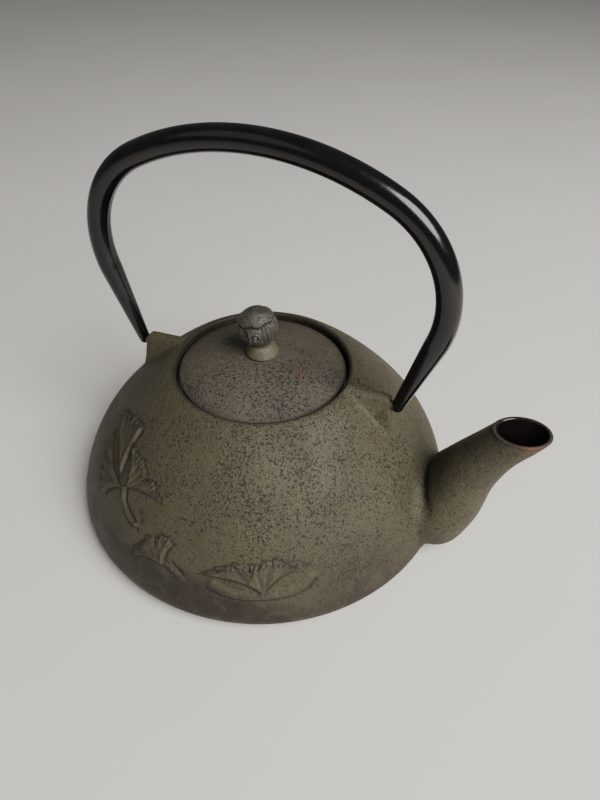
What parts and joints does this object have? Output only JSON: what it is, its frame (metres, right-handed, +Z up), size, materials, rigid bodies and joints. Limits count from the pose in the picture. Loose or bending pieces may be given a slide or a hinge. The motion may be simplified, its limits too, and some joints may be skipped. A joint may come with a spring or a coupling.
{
  "type": "cast iron teapot",
  "caption": "Low domed cast iron teapot with a short upswept spout, a recessed lid with a ball knob, a black bail handle that swings on two ears, and a steel infuser basket.",
  "frame": {"origin": "centre of the flat foot, on the pot's axis", "axes": "+Z up along the pot's axis, +X towards the spout; the ears and the upright bail lie in the XZ plane"},
  "size_m": [0.2107, 0.176, 0.1702],
  "materials": {
    "pot_iron": "matte olive grey cast skin with fine black pits, black enamel inside",
    "lid_iron": "matte grey brown cast skin with fine black pits",
    "collar_iron": "smooth matte light brown",
    "knob_iron": "satin dark grey, rubbed on its high spots",
    "rivet_steel": "dull steel",
    "black_enamel": "gloss black enamel",
    "peg_steel": "dark steel with rust",
    "basket_steel": "polished stainless steel",
    "mesh_steel": "fine woven stainless mesh"
  },
  "bodies": {
    "pot": {"pot_body": "pot_iron"},
    "bail": {"handle_bail": "black_enamel", "handle_hook_front": "peg_steel", "handle_hook_rear": "peg_steel"},
    "infuser": {"infuser_rim": "basket_steel", "infuser_mesh_wall": "mesh_steel", "infuser_mesh_floor": "mesh_steel", "infuser_bottom_band": "basket_steel"},
    "lid": {"lid": "lid_iron", "knob_collar": "collar_iron", "rivet_washer": "rivet_steel"},
    "knob": {"lid_knob": "knob_iron", "knob_rivet": "rivet_steel"}
  },
  "joints": [
    {"name": "handle_swing", "type": "hinge", "parent": "pot", "child": "bail", "pos_m": [0, 0, 0.067], "axis": [1, 0, 0], "range_deg": [-112, 112]},
    {"name": "infuser_lift", "type": "slide", "parent": "pot", "child": "infuser", "axis": [0, 0, 1], "range_m": [0, 0.05]},
    {"name": "lid_lift", "type": "slide", "parent": "infuser", "child": "lid", "axis": [0, 0, 1], "range_m": [0, 0.045]},
    {"name": "knob_turn", "type": "hinge", "parent": "lid", "child": "knob", "pos_m": [0, 0, 0.0904], "axis": [0, 0, 1], "continuous": true}
  ]
}
